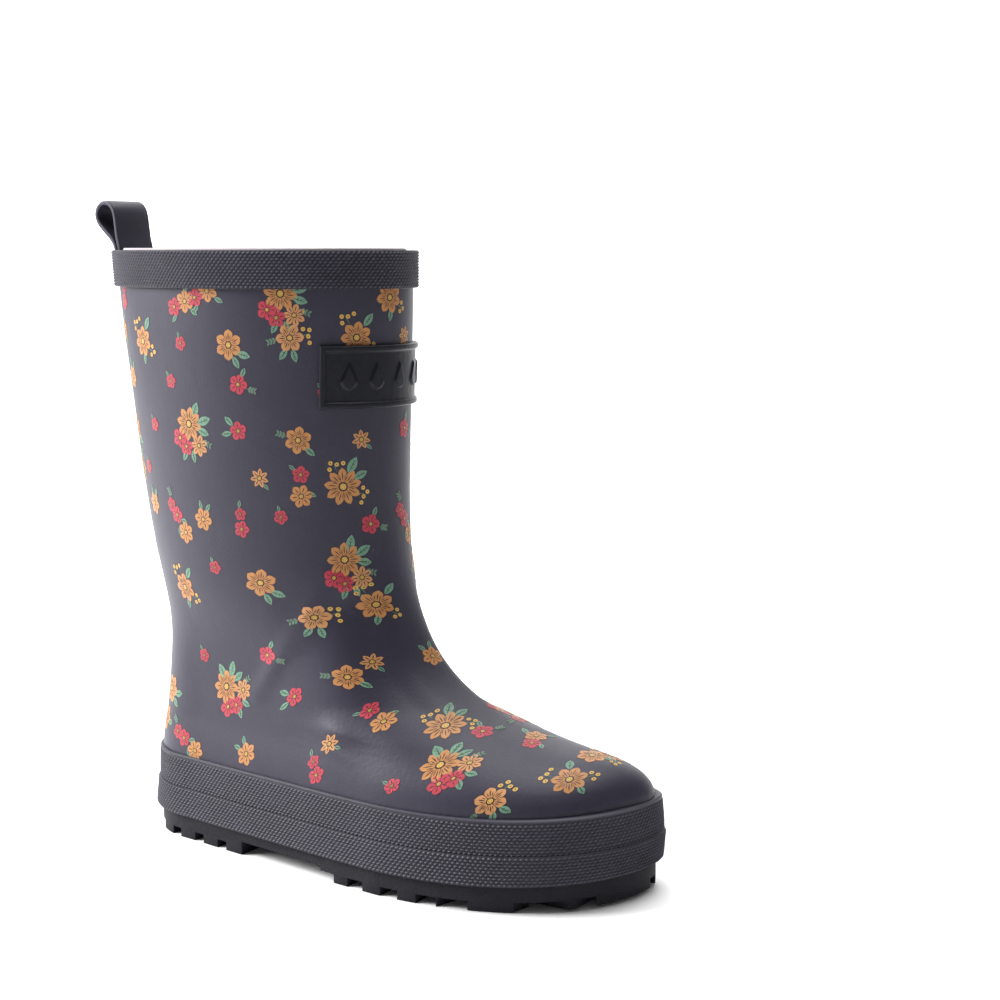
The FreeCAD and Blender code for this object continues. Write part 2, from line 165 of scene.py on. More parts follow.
class Sum:
    """A number in a shader, so that its maths is written as ordinary sums."""

    def __init__(self, tree, socket):
        self.tree = tree
        self.socket = socket

    def maths(self, operation, first, second=None):
        node = self.tree.nodes.new("ShaderNodeMath")
        node.operation = operation
        for place, value in enumerate((first, second)):
            if isinstance(value, Sum):
                self.tree.links.new(value.socket, node.inputs[place])
            elif value is not None:
                node.inputs[place].default_value = value
        return Sum(self.tree, node.outputs[0])

    def __add__(self, other):
        return self.maths("ADD", self, other)

    def __radd__(self, other):
        return self.maths("ADD", other, self)

    def __sub__(self, other):
        return self.maths("SUBTRACT", self, other)

    def __mul__(self, other):
        return self.maths("MULTIPLY", self, other)

    def __rmul__(self, other):
        return self.maths("MULTIPLY", other, self)

    def sine(self):
        return self.maths("SINE", self)

    def clipped(self, low, high):
        return self.maths("MINIMUM", self.maths("MAXIMUM", self, low), high)


class Finish:
    """A procedural material on a Principled shader, read in Object coordinates."""

    def __init__(self, name, colour, roughness, shine=0.3):
        self.material = bpy.data.materials.new(name)
        self.material.use_nodes = True
        self.tree = self.material.node_tree
        self.shader = self.tree.nodes["Principled BSDF"]
        self.shader.inputs["Base Color"].default_value = (*colour, 1)
        self.shader.inputs["Roughness"].default_value = roughness
        self.shader.inputs["Specular IOR Level"].default_value = shine
        self.colour = colour
        self.place = self.node("ShaderNodeTexCoord").outputs["Object"]

    def node(self, kind, inputs=(), **settings):
        made = self.tree.nodes.new(kind)
        for setting, value in settings.items():
            setattr(made, setting, value)
        for name, value in dict(inputs).items():
            if isinstance(value, Sum):
                value = value.socket
            if isinstance(value, bpy.types.NodeSocket):
                self.tree.links.new(value, made.inputs[name])
            else:
                made.inputs[name].default_value = value
        return made

    def noise(self, per_metre, detail=3.0):
        made = self.node("ShaderNodeTexNoise", {"Vector": self.place, "Scale": per_metre, "Detail": detail})
        return Sum(self.tree, made.outputs[0])

    def tint(self, share, darker, lighter):
        """Base colour between two strengths of the finish's own colour."""
        ends = [tuple(part * level for part in self.colour) + (1,) for level in (darker, lighter)]
        mix = self.node("ShaderNodeMix", data_type="RGBA")
        self.tree.links.new(share.socket, mix.inputs[0])
        mix.inputs[6].default_value, mix.inputs[7].default_value = ends
        self.tree.links.new(mix.outputs[2], self.shader.inputs["Base Color"])
        return self

    def rough(self, share):
        self.tree.links.new(share.socket, self.shader.inputs["Roughness"])
        return self

    def relief(self, height, depth):
        bump = self.node("ShaderNodeBump", {"Height": height, "Distance": depth, "Strength": 1.0})
        self.tree.links.new(bump.outputs[0], self.shader.inputs["Normal"])
        return self


def placed(piece, finish, body, material_slot, *nodes):
    """Last steps for every piece: its material, the body it moves with and the CAD nodes it stands for."""
    piece.data.materials.clear()
    piece.data.materials.append(finish.material)
    if body:
        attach(piece, body)
    if nodes:
        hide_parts(*nodes)
    return piece


def ankle_fold(place):
    """How much the fold lifts the side of the ankle here: a ridge leaning forward as it climbs."""
    x, z = place[0] / MM, place[2] / MM
    share = ((x - fold_x) * fold_run + (z - fold_z) * fold_climb) / (fold_run ** 2 + fold_climb ** 2)
    along = min(1, max(0, share))
    away = math.hypot(x - fold_x - fold_run * along, z - fold_z - fold_climb * along)
    ends = min(1, max(0, (share + 0.25) / 0.5)) * min(1, max(0, (1.25 - share) / 0.5))
    side = min(1, abs(place[1]) / (15 * MM))
    return fold_height * math.exp(-(away / fold_half_width) ** 2) * ends * side


def fullness(place):
    """The upper swells a little just above the rand, most of all round the toe."""
    x, z = place[0] / MM, place[2] / MM
    return (1.1 + 0.9 * eased((x - 115) / 30)) * (1 - eased((z - 30) / 13)) * MM


upper_tree = cad_tree("rubber_upper")
upper_levels = list(np.arange(14, 36, 2.0)) + list(np.arange(36, 52, 0.4)) + list(np.arange(52, 70, 1.0))
upper_levels += list(np.arange(70, 199.5, 2.5)) + [199.95]
outer_rings = []
for level in upper_levels:
    ring = level_ring(upper_tree, level * MM, upper_columns)
    lifts = np.array([ankle_fold(place) + fullness(place) for place in ring])
    outer_rings.append(ring + outwards(ring) * lifts[:, None])
inner_levels = [199.95] + list(np.arange(196, 70, -6.0)) + list(np.arange(70, 50, -3.0))
inner_levels += list(np.arange(50, 34, -1.0)) + [32, 28, 24, 20, 16]
inner_rings = [level_ring(upper_tree, level * MM, upper_columns, inside=True) for level in inner_levels]
upper = ring_mesh("printed_upper", outer_rings + inner_rings)

rubber = Finish("matte_printed_rubber", upper_colour, 0.5)
rubber.tint(rubber.noise(60.0), 0.85, 1.2).rough(0.44 + 0.12 * rubber.noise(35.0))
rubber.relief(rubber.noise(900.0, 2.0), 0.00006)
placed(upper, rubber, "boot", "upper_rubber", "rubber_upper")

# ---------------------------------------------------------------- flowers printed on the upper
# Small orange, red and peach flowers with leaves, buds and sprigs: plates standing 0.09 to 0.18 mm proud.
# One block repeats twice round the shaft. The foot has rows of its own, drawn out along it as the rubber is
# stretched over the last, and its lower rows are mirrored on the inner side.
print_colours = {
    "orange": (0.37, 0.165, 0.055), "peach": (0.40, 0.19, 0.075), "red": (0.34, 0.030, 0.050),
    "yellow": (0.48, 0.29, 0.065), "ink": (0.024, 0.014, 0.014), "leaf": (0.105, 0.215, 0.145),
    "sprig": (0.085, 0.14, 0.10),
}
ink_step = 0.018
print_scale = 1.16


def oval(x, y, turn, length, width, blunt=1.0, points=7):
    """Pointed oval standing on (x, y), leaning by turn. Above 1, blunt moves its belly outwards."""
    sides = []
    for step in range(points):
        share = step / (points - 1)
        sides.append((width / 2 * math.sin(math.pi * share ** blunt) ** 0.8, length * share))
    line = sides + [(-across, up) for across, up in sides[-2:0:-1]]
    c, s = math.cos(turn), math.sin(turn)
    return [(x + across * c + up * s, y - across * s + up * c) for across, up in line]


def disc(x, y, radius, points=9):
    turns = [2 * math.pi * step / points for step in range(points)]
    return [(x + radius * math.sin(turn), y + radius * math.cos(turn)) for turn in turns]


def bloom(x, y, radius, petals, colour, turn=0.0, width=0.62, blunt=1.75, heart=0.17):
    """Open flower: petals with an inked line up each, a ring of stamens and a yellow heart."""
    shapes = []
    for petal in range(petals):
        lean = turn + 2 * math.pi * petal / petals
        span = 2 * math.pi * radius / petals * width
        shapes.append((oval(x, y, lean, radius, span, blunt, 9), colour, 1 + petal % 2))
        c, s = math.sin(lean), math.cos(lean)
        line = oval(x + 0.3 * radius * c, y + 0.3 * radius * s, lean, radius * 0.5, 0.28, 1.0, 5)
        shapes.append((line, "ink", 3))
        if radius > 3.5:
            for side in (-0.3, 0.3):
                c, s = math.sin(lean + side), math.cos(lean + side)
                line = oval(x + 0.34 * radius * c, y + 0.34 * radius * s, lean + side * 0.6,
                            radius * 0.3, 0.2, 1.0, 5)
                shapes.append((line, "ink", 3))
    shapes.append((disc(x, y, radius * heart * 1.5), "ink", 4))
    shapes.append((disc(x, y, radius * heart), "yellow", 5))
    for stamen in range(5):
        lean = turn + 2 * math.pi * stamen / 5
        reach = radius * heart * 0.55
        shapes.append((disc(x + reach * math.sin(lean), y + reach * math.cos(lean), 0.11, 5), "ink", 6))
    return shapes


def leaf(x, y, turn, length=3.6, width=1.75):
    vein = oval(x, y, turn, length * 0.88, 0.2)
    shapes = [(oval(x, y, turn, length, width), "leaf", 1), (vein, "ink", 2)]
    for rib in (0.3, 0.52, 0.7):
        for side in (-1, 1):
            shapes.append((oval(x + length * rib * math.sin(turn), y + length * rib * math.cos(turn),
                                turn + side * 0.75, width * 0.42, 0.11), "ink", 2))
    return shapes


def buds(x, y, turn, count=4, colour="yellow"):
    """Stalk with a few round buds."""
    shapes = [(oval(x, y, turn, 3.0, 0.22), "sprig", 1)]
    for bud in range(count):
        lean = turn + (bud - (count - 1) / 2) * 0.62
        reach = 2.1 + 0.9 * (bud % 2)
        shapes.append((disc(x + reach * math.sin(lean), y + reach * math.cos(lean), 0.62), colour, 2))
        shapes.append((disc(x + reach * math.sin(lean), y + reach * math.cos(lean), 0.2, 5), "ink", 3))
    return shapes


def sprig(x, y, turn, length=4.2):
    """Thin grey-green stem with small paired leaves."""
    shapes = [(oval(x, y, turn, length, 0.2), "sprig", 1)]
    for pair in (0.35, 0.6, 0.85):
        for side in (-1, 1):
            shapes.append((oval(x + length * pair * math.sin(turn), y + length * pair * math.cos(turn),
                                turn + side * 0.8, 1.25, 0.6), "sprig", 2))
    return shapes


def cluster():
    shapes = leaf(1.5, 3.0, 0.3, 5.0, 2.5) + leaf(3.2, 1.8, 1.15, 5.2, 2.5) + leaf(3.4, 0.2, 1.8, 4.4, 2.2)
    shapes += leaf(-0.5, -6.5, 3.6) + leaf(1.5, -6.2, 2.8)
    shapes += sprig(4.5, -2.5, 1.9) + bloom(-3.6, -3.4, 3.0, 5, "red", 0.3, 0.64)
    shapes += bloom(-0.9, -5.4, 2.7, 5, "red", 0.0, 0.64)
    shapes += bloom(4.1, -4.4, 3.2, 7, "peach", 0.2, 0.58)
    return shapes + bloom(0, 1.2, 4.9, 8, "orange", 0.1, 0.61)


def big_daisy():
    shapes = buds(-1.5, 4.2, -0.25) + leaf(1.6, 3.5, 0.55, 5.2, 2.5) + leaf(3.0, 2.0, 1.2, 4.6, 2.2)
    shapes += buds(4.0, -2.0, 1.9)
    return shapes + bloom(0, 0, 5.3, 9, "orange", 0.0, 0.61)


def tall_daisy():
    shapes = buds(-1.8, 3.8, -0.5) + leaf(2.2, 3.0, 0.7, 4.4, 2.1) + buds(3.0, -2.4, 2.0, 3)
    shapes += leaf(0.2, -3.2, 3.3, 3.4, 1.6)
    return shapes + bloom(0, 0, 4.5, 7, "orange", 0.2, 0.62)


def orange_leaves():
    shapes = leaf(2.4, -2.4, 1.9, 4.2, 2.1) + leaf(1.0, -3.2, 2.7, 3.8, 1.8)
    return shapes + bloom(0, 0, 4.3, 6, "orange", 0.1, 0.62)


def orange_buds():
    shapes = buds(3.0, 0.6, 1.2) + sprig(-2.8, -0.5, -1.9, 3.6) + leaf(-0.6, -3.0, 3.7, 3.8, 1.8)
    shapes += leaf(0.8, -3.0, 2.8, 3.8, 1.8)
    return shapes + bloom(0, 0, 4.0, 6, "peach", 0.4, 0.62)


def orange_sprig():
    shapes = sprig(-2.6, 0.4, -1.4, 3.6) + leaf(2.2, -1.8, 2.1, 3.4, 1.7)
    return shapes + bloom(0, 0, 3.9, 6, "orange", 0.0, 0.62)


def red_leaf():
    shapes = leaf(0.6, 2.2, 0.25, 2.8, 1.4) + sprig(2.2, -0.6, 1.6, 3.2)
    return shapes + bloom(0, 0, 2.9, 5, "red", 0.2, 0.64)


def red_pair_leaves():
    shapes = leaf(-1.4, 1.6, -0.7, 3.6, 1.7) + leaf(-2.2, -0.4, -1.6, 3.4, 1.6)
    return shapes + bloom(0, 0, 2.7, 5, "red", 0.0, 0.64)


def small_red():
    return leaf(-0.6, 1.4, -0.4, 1.9, 0.9) + bloom(0, 0, 2.1, 5, "red", 0.3, 0.64)


def red_orange():
    shapes = leaf(1.6, 3.4, 0.5, 3.6, 1.7) + leaf(-1.6, -2.8, 3.9, 2.8, 1.3)
    shapes += leaf(3.8, -1.2, 2.2, 3.0, 1.4)
    shapes += bloom(-2.5, -0.6, 2.7, 5, "red", 0.2, 0.64)
    return shapes + bloom(1.8, 0.9, 3.3, 6, "orange", 0.0, 0.62)


def star():
    return bloom(0, 0, 2.8, 7, "peach", 0.1, 0.5, 1.2, 0.2) + leaf(1.2, -1.6, 2.4, 2.2, 1.0)


def red_chain():
    shapes = sprig(0.4, 4.6, -0.3, 3.6) + bloom(-0.8, 3.2, 2.2, 5, "red", 0.0, 0.64)
    shapes += bloom(1.0, 0.0, 2.6, 5, "red", 0.4, 0.64)
    shapes += leaf(2.4, -1.6, 1.9, 2.8, 1.3) + bloom(3.4, -5.4, 3.3, 6, "orange", 0.2, 0.62)
    return shapes + leaf(0.8, -3.4, 3.4, 2.6, 1.2)


def red_over_orange():
    shapes = bloom(0, 3.4, 2.5, 5, "red", 0.1, 0.64) + leaf(-1.6, 4.6, -0.9, 2.2, 1.0)
    shapes += leaf(1.8, -1.4, 2.0, 2.8, 1.3)
    return shapes + bloom(0.2, -2.6, 3.3, 6, "orange", 0.3, 0.62)


def two_reds():
    shapes = leaf(0.4, 4.2, 0.3, 2.2, 1.0) + bloom(0.4, 2.4, 1.9, 5, "red", 0.1, 0.64)
    return shapes + bloom(-0.2, -1.8, 2.5, 5, "red", 0.5, 0.64)


def orange_top_leaves():
    shapes = leaf(-0.8, 2.6, -0.4, 2.8, 1.3) + leaf(0.8, 2.6, 0.5, 2.8, 1.3)
    return shapes + bloom(0, 0, 3.4, 6, "orange", 0.5, 0.62)


# Rows down the shaft from the top one, a row_drop apart. A row's motifs are evenly spaced over one block of
# the print, from its first place round the shaft, in millimetres from the back by the outer side. None leaves
# a place empty.
girth = 280.0
block = girth / 2
top_row, row_drop = 185.0, 14.4
shaft_rows = [
    (32, [two_reds, red_orange, cluster, tall_daisy]),
    (5, [star, red_orange, tall_daisy, small_red, orange_leaves, orange_buds, tall_daisy]),
    (3, [star, orange_top_leaves, small_red, red_leaf, small_red]),
    (6, [red_leaf, orange_leaves, small_red, cluster, red_pair_leaves, orange_sprig, star]),
    (8, [None, big_daisy, small_red, None, None, None, star, red_over_orange, big_daisy, None]),
    (5, [red_chain, None, orange_top_leaves, red_chain, orange_top_leaves,
         two_reds, small_red, None, red_leaf]),
    (14, [orange_buds, None, None, cluster]),
]
# Rows along the foot: degrees up round it from its outer side, then the first place forward of the heel's
# centre and the step to the next, in millimetres.
foot_rows = [
    (10, -3, 32, [red_chain, orange_top_leaves, two_reds, small_red, orange_buds]),
    (24, -16, 41, [orange_sprig, None, star, cluster]),
    (42, -13, 31, [orange_leaves, cluster, red_pair_leaves, red_over_orange, None, tall_daisy]),
    (53, 6, 31, [small_red, red_leaf, orange_sprig, big_daisy]),
    (63, 1, 18, [tall_daisy, small_red, orange_leaves, orange_buds, star, None, red_leaf]),
    (76, 20, 25, [red_orange, None, tall_daisy]),
    (90, 82, 20, [orange_top_leaves, None, red_orange]),
    (110, 104, 18, [red_chain, None, orange_leaves]),
]
scatter = 1.5

skin_rings = np.array(outer_rings)
skin_places = [tuple(place) for place in skin_rings.reshape(-1, 3)]
skin_faces = []
for row in range(len(outer_rings) - 1):
    for column in range(upper_columns):
        after = (column + 1) % upper_columns
        low, high = row * upper_columns, (row + 1) * upper_columns
        skin_faces.append((low + column, low + after, high + after, high + column))
skin_tree = BVHTree.FromPolygons(skin_places, skin_faces)


def on_shaft(around, height):
    row = int(np.argmin(np.abs(np.array(upper_levels) - height)))
    return Vector(outer_rings[row][int(around / girth * upper_columns) % upper_columns])


def on_foot(forward, degrees):
    turn = math.radians(degrees)
    out = Vector((0, -math.cos(turn), math.sin(turn)))
    spine = Vector((forward * MM, 0.003, 0.029))
    return skin_tree.ray_cast(spine, out)[0]


plate_places, plate_faces, plate_colours = [], [], []


def printed(shapes, middle, lean, mirrored, stretch=(1.0, 1.0)):
    """Lays flat shapes on the rubber round a point, each a thin closed plate."""
    middle, out = skin_tree.find_nearest(middle)[:2]
    if middle.z > 0.07:
        radial = Vector((middle.x - 0.02, middle.y, 0))
    else:
        radial = Vector((0, middle.y, middle.z - 0.029))
    if out.dot(radial) < 0:
        out = -out
    up = Vector((-0.9 * (middle.z < 0.06), 0, 1))
    up = (up - out * up.dot(out)).normalized()
    right = up.cross(out) * (-1 if mirrored else 1)
    for line, colour, layer in shapes:
        if mirrored:
            line = line[::-1]
        centre = np.mean(line, axis=0)
        first = len(plate_places)
        lift = ink_step * (4 + layer)
        for level in (lift, -0.05):
            for x, y in [tuple(centre)] + list(line):
                x, y = x * print_scale, y * print_scale
                x, y = x * math.cos(lean) - y * math.sin(lean), x * math.sin(lean) + y * math.cos(lean)
                x, y = x * stretch[0], y * stretch[1]
                place, normal = skin_tree.find_nearest(middle + (right * x + up * y) * MM)[:2]
                if normal.dot(out) < 0:
                    normal = -normal
                plate_places.append(tuple(place + normal * level * MM))
        count = len(line)
        for step in range(count):
            here, after = first + 1 + step, first + 1 + (step + 1) % count
            below = count + 1
            plate_faces.append((first, after, here))
            plate_faces.append((here, after, after + below, here + below))
            plate_faces.append((first + below, here + below, after + below))
            plate_colours.extend([print_colours[colour]] * 3)


for row, (first, motifs) in enumerate(shaft_rows):
    for number, motif in enumerate(motifs):
        if motif is None:
            continue
        around = first + block * number / len(motifs)
        height = top_row - row_drop * row + scatter * math.sin(5 * number + 2 * row)
        lean = 0.2 * math.sin(3 * number + row)
        printed(motif(), on_shaft(around, height), lean, False)
        printed(motif(), on_shaft(around + block, height), -lean, False)
for degrees, first, step, motifs in foot_rows:
    for number, motif in enumerate(motifs):
        if motif is None:
            continue
        forward = first + step * number
        lean = 0.2 * math.sin(3 * number + degrees)
        pulled = (1.0 + 0.32 * eased(forward / 60), 1.0 - 0.12 * eased(forward / 60))
        printed(motif(), on_foot(forward, degrees), lean, False, pulled)
        if degrees < 70:
            printed(motif(), on_foot(forward, 180 - degrees), -lean, True, pulled)

flowers = finished_mesh("printed_flowers", plate_places, plate_faces, smooth=False)
shade = flowers.data.attributes.new("print_colour", "FLOAT_COLOR", "FACE")
shade.data.foreach_set("color", [part for colour in plate_colours for part in (*colour, 1.0)])
inks = Finish("printed_inks", (1, 1, 1), 0.5)
read = inks.node("ShaderNodeAttribute", attribute_name="print_colour")
faded = inks.node("ShaderNodeMix", data_type="RGBA", blend_type="MULTIPLY")
faded.inputs[0].default_value = 1.0
inks.tree.links.new(read.outputs[0], faded.inputs[6])
wear = 0.8 + 0.4 * inks.noise(700.0)
tone = inks.node("ShaderNodeCombineColor", {"Red": wear, "Green": wear, "Blue": wear})
inks.tree.links.new(tone.outputs[0], faded.inputs[7])
inks.tree.links.new(faded.outputs[2], inks.shader.inputs["Base Color"])
placed(flowers, inks, "boot", "upper_rubber")

# ---------------------------------------------------------------- knurled rubber strips
# Rand, foxing strip and top binding: moulded strips of dark rubber in rows of small pyramids 1.6 mm apart,
# the rand with a plain bead along its top. The lower two curl up a little under the toe, as the sole does.
knurl_pitch = 1.6
knurl_row = 0.95
knurl_height = 0.48
# The arc that lifts the sole's layers towards the toe, in millimetres.
spring_start, toe_tip, spring_height = 104.0, 161.3, 1.5
spring_end = 175.0
strip_colour = (0.024, 0.022, 0.034)


def toe_rise(x):
    """How far the sole's layers are lifted at x, in millimetres."""
    radius = ((toe_tip - spring_start) ** 2 + spring_height ** 2) / (2 * spring_height)
    run = max(0.0, min(x / MM, spring_end) - spring_start)
    return radius - math.sqrt(radius ** 2 - run ** 2)


def knurled_strip(name, node, low, high, sprung, top_bead, thickness, drawn=0.0):
    """Closed ring over a CAD strip's outer face from low to high, in millimetres at the heel."""
    tree = cad_tree(node)
    middle = level_ring(tree, (low + high) / 2 * MM, 240)
    length = np.linalg.norm(np.roll(middle, -1, axis=0) - middle, axis=1).sum() / MM
    columns = int(length / knurl_pitch) * 2
    middle = level_ring(tree, (low + high) / 2 * MM, columns, rays=1440)
    out = outwards(middle)
    knurl_rows = 2 * int((high - low - 0.9 - top_bead) / knurl_row)
    first = low + 0.3
    step = (high - top_bead - 0.4 - first) / knurl_rows
    rows = [low + 0.01, low + 0.16] + [first + step * row for row in range(knurl_rows + 1)]
    rows += [high - top_bead, high - top_bead / 2, high - 0.04] if top_bead else [high - 0.2, high - 0.04]
    raised = []
    rings = []
    held = middle.copy()
    for number, height in enumerate(rows):
        ring = []
        for column in range(columns):
            x, y = middle[column][:2]
            z = (height + (toe_rise(x) if sprung else 0.0)) * MM
            way = Vector(out[column])
            place = tree.ray_cast(Vector((x, y, z)) + way * 0.012, -way)[0]
            if place is None or (place - Vector((x, y, z))).length > 0.005:
                place = Vector((*held[column][:2], z))
            held[column] = place
            knurl = 2 < number < knurl_rows + 2 and number % 2 and (column + number // 2) % 2
            lift = -drawn * eased((height - low) / (high - low))
            if knurl:
                lift += knurl_height
            elif number < 1 or number == len(rows) - 1:
                lift -= 0.3
            elif top_bead and number == len(rows) - 2:
                lift += 0.25
            # Painted light mask: knurl tops get 1, the rand's bead rows 0.35 and the gaps 0. The strip's
            # finish turns this into a painted highlight on the tops and painted shade in the gaps.
            raised.append(1.0 if knurl else 0.35 if number > knurl_rows + 2 and top_bead else 0.0)
            ring.append(tuple(place + way * lift * MM))
        rings.append(np.array(ring))
    rings.append(rings[-1] - out * thickness * MM)
    rings.append(rings[0] - out * thickness * MM)
    piece = ring_mesh(name, rings, smooth=False)
    tops = piece.data.attributes.new("knurl_top_painted_light", "FLOAT", "POINT")
    tops.data.foreach_set("value", raised + [0.0] * (2 * columns))
    return piece


strip = Finish("knurled_rubber", strip_colour, 0.5)
top = Sum(strip.tree, strip.node("ShaderNodeAttribute", attribute_name="knurl_top_painted_light").outputs["Fac"])
# Painted light in the base colour: knurl tops are painted up to 2.3 times lighter (painted highlight) and the
# gaps down to 0.55 (painted shade); the noise adds uneven tone.
strip.tint((top + 0.4 * (strip.noise(80.0) - 0.5)).clipped(0.0, 1.0), 0.55, 2.3)
strip.rough(0.5 + 0.1 * strip.noise(300.0) - 0.12 * top)
rand = knurled_strip("knurled_rand", "rand_strip", 16.5, 29.0, True, 0.9, 1.6)
placed(rand, strip, "boot", "trim_rubber", "rand_strip")
foxing = knurled_strip("knurled_foxing", "foxing_strip", 8.2, 18.0, True, 0.0, 0.9, 0.75)
placed(foxing, strip, "boot", "trim_rubber", "foxing_strip")
binding = knurled_strip("knurled_binding", "top_binding", 187.7, 200.0, False, 0.0, 1.4)
placed(binding, strip, "boot", "trim_rubber", "top_binding")

# ---------------------------------------------------------------- lugged outsole
# The tread block, worked on a copy of the CAD piece: moulded edges softened, fine-grained dark rubber.
outsole = bpy.data.objects.new("lugged_outsole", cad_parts["outsole"].data.copy())
bpy.context.scene.collection.objects.link(outsole)
outsole.matrix_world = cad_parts["outsole"].matrix_world.copy()
work = bmesh.new()
work.from_mesh(outsole.data)
bmesh.ops.remove_doubles(work, verts=work.verts, dist=0.00002)
bmesh.ops.dissolve_limit(work, angle_limit=math.radians(2.0), verts=work.verts, edges=work.edges)
for face in work.faces:
    face.smooth = True
work.to_mesh(outsole.data)
work.free()
for other in bpy.context.selected_objects:
    other.select_set(False)
bpy.context.view_layer.objects.active = outsole
outsole.select_set(True)
soften = outsole.modifiers.new("soften", "BEVEL")
soften.width = 0.0004
soften.segments = 2
soften.limit_method = "ANGLE"
soften.angle_limit = math.radians(50)
bpy.ops.object.modifier_apply(modifier="soften")
bpy.ops.object.shade_smooth_by_angle(angle=math.radians(40))
sole_rubber = Finish("grained_sole_rubber", (0.008, 0.0075, 0.012), 0.65, 0.2)
sole_rubber.tint(sole_rubber.noise(120.0), 0.8, 1.25)
sole_rubber.relief(sole_rubber.noise(2200.0, 2.0), 0.00025)
placed(outsole, sole_rubber, "boot", "sole_rubber", "outsole")

# ---------------------------------------------------------------- pull loop
# One smooth rubber strap, 16.5 by 1.6 mm: both ends sealed under the binding, the fold standing at the back.
strap_wide = 16.5
strap_thick = 1.6
pinch = (-46.6, 202.05)
lean = math.radians(26)
head_reach, head_radius = 11.4, 4.5
head = (pinch[0] - head_reach * math.sin(lean), pinch[1] + head_reach * math.cos(lean))
path = [(-44.6, 188.9), (-44.6, 195.0), (-44.7, 200.0), (-45.9, 203.2)]
for degrees in range(8, 226, 18):
    turn = math.radians(degrees)
    path.append((head[0] + head_radius * math.cos(turn), head[1] + head_radius * math.sin(turn)))
path += [(-47.6, 203.0), (-46.35, 200.0), (-46.2, 195.0), (-46.2, 188.9)]
path = spread([(x, 0, z) for x, z in path], 40)
for _ in range(2):
    path[1:-1] = (path[:-2] + 2 * path[1:-1] + path[2:]) / 4
path = spread(path, 110)
half_wide, half_thick, corner = strap_wide / 2, strap_thick / 2, 0.55
outline = []
for side_x, side_y, start in ((1, 1, 0), (-1, 1, 90), (-1, -1, 180), (1, -1, 270)):
    for step in range(5):
        turn = math.radians(start + 22.5 * step)
        outline.append((side_y * (half_wide - corner) + corner * math.sin(turn),
                        side_x * (half_thick - corner) + corner * math.cos(turn)))
strap_rings = []
for number, (x, _, z) in enumerate(path):
    before, after = path[max(0, number - 1)], path[min(len(path) - 1, number + 1)]
    along = Vector((after[0] - before[0], 0, after[2] - before[2])).normalized()
    across = Vector((along.z, 0, -along.x))
    strap_rings.append(np.array([((x + across.x * thick) * MM, wide * MM, (z + across.z * thick) * MM)
                                 for wide, thick in outline]))
strap = ring_mesh("pull_strap", strap_rings, ends="middle")
smooth_rubber = Finish("smooth_strap_rubber", (0.030, 0.027, 0.042), 0.42)
smooth_rubber.rough(0.38 + 0.1 * smooth_rubber.noise(120.0)).relief(smooth_rubber.noise(1500.0, 2.0), 0.00004)
placed(strap, smooth_rubber, None, "loop_rubber", "pull_loop", "loop_anchor_legs")
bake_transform(strap)

# ---------------------------------------------------------------- badge
# Square-cornered rubber patch wrapped round the shaft's front: raised border, sunken field, row of raindrops.
badge_half = 27.6
badge_low, badge_high = 150.0, 170.0
badge_step = 0.26
badge_ring, badge_reach = 600, 80
badge_field, border_rise, border_width = 1.1, 0.75, 1.7
drop_pitch, drop_radius, drop_point = 9.2, 2.7, 6.0


def badge_depth(across, up):
    """Thickness of the badge at a place, measured from its middle, in millimetres."""
    edge = min(badge_half - abs(across), (badge_high - badge_low) / 2 - abs(up))
    border = border_rise * (1 - eased((edge - border_width) / 0.5))
    depth = badge_field + border - 0.5 * (1 - eased(edge / 0.4))
    for drop in range(-2, 3):
        beside, above = abs(across - drop * drop_pitch), up + 1.2
        if above > 0:
            half = drop_radius * max(0.0, 1 - above / drop_point) ** 0.85
        else:
            half = math.sqrt(max(0.0, drop_radius ** 2 - above ** 2))
        if half > 0 and beside < half + 0.3:
            depth = max(depth, badge_field + 0.6 * eased((half - beside) / 0.7))
    return depth


badge_rows = int((badge_high - badge_low) / badge_step)
badge_columns = int(2 * badge_half / badge_step)
badge_places, badge_faces = [], []
front = badge_ring // 2
for row in range(badge_rows + 1):
    z = badge_low + (badge_high - badge_low) * row / badge_rows
    ring = level_ring(upper_tree, z * MM, badge_ring)
    around = ring[front - badge_reach:front + badge_reach + 1]
    out = outwards(ring)[front - badge_reach:front + badge_reach + 1]
    travelled = np.concatenate([[0], np.cumsum(np.linalg.norm(np.diff(around, axis=0), axis=1))]) / MM
    travelled -= np.interp(0.0, around[:, 1], travelled)
    for column in range(badge_columns + 1):
        across = -badge_half + 2 * badge_half * column / badge_columns
        place = np.array([np.interp(across, travelled, around[:, axis]) for axis in range(3)])
        way = np.array([np.interp(across, travelled, out[:, axis]) for axis in range(3)])
        depth = badge_depth(across, z - (badge_low + badge_high) / 2)
        badge_places.append(tuple(place + way * depth * MM))
        badge_places.append(tuple(place - way * 0.15 * MM))
wide = badge_columns + 1
for row in range(badge_rows):
    for column in range(badge_columns):
        low, high = row * wide + column, (row + 1) * wide + column
        corners = [low, low + 1, high + 1, high]
        badge_faces.append(tuple(2 * corner for corner in corners))
        badge_faces.append(tuple(2 * corner + 1 for corner in reversed(corners)))
rim = [column for column in range(badge_columns)] + [row * wide + badge_columns for row in range(badge_rows)]
rim += [badge_rows * wide + column for column in range(badge_columns, 0, -1)]
rim += [row * wide for row in range(badge_rows, 0, -1)]
for here, after in zip(rim, rim[1:] + rim[:1]):
    badge_faces.append((2 * after, 2 * here, 2 * here + 1, 2 * after + 1))
badge = finished_mesh("raindrop_badge", badge_places, badge_faces)
badge_rubber = Finish("badge_rubber", (0.0055, 0.006, 0.011), 0.45, 0.2)
badge_rubber.rough(0.36 + 0.1 * badge_rubber.noise(200.0)).relief(badge_rubber.noise(1800.0, 2.0), 0.00003)
placed(badge, badge_rubber, "boot", "badge_rubber", "badge")

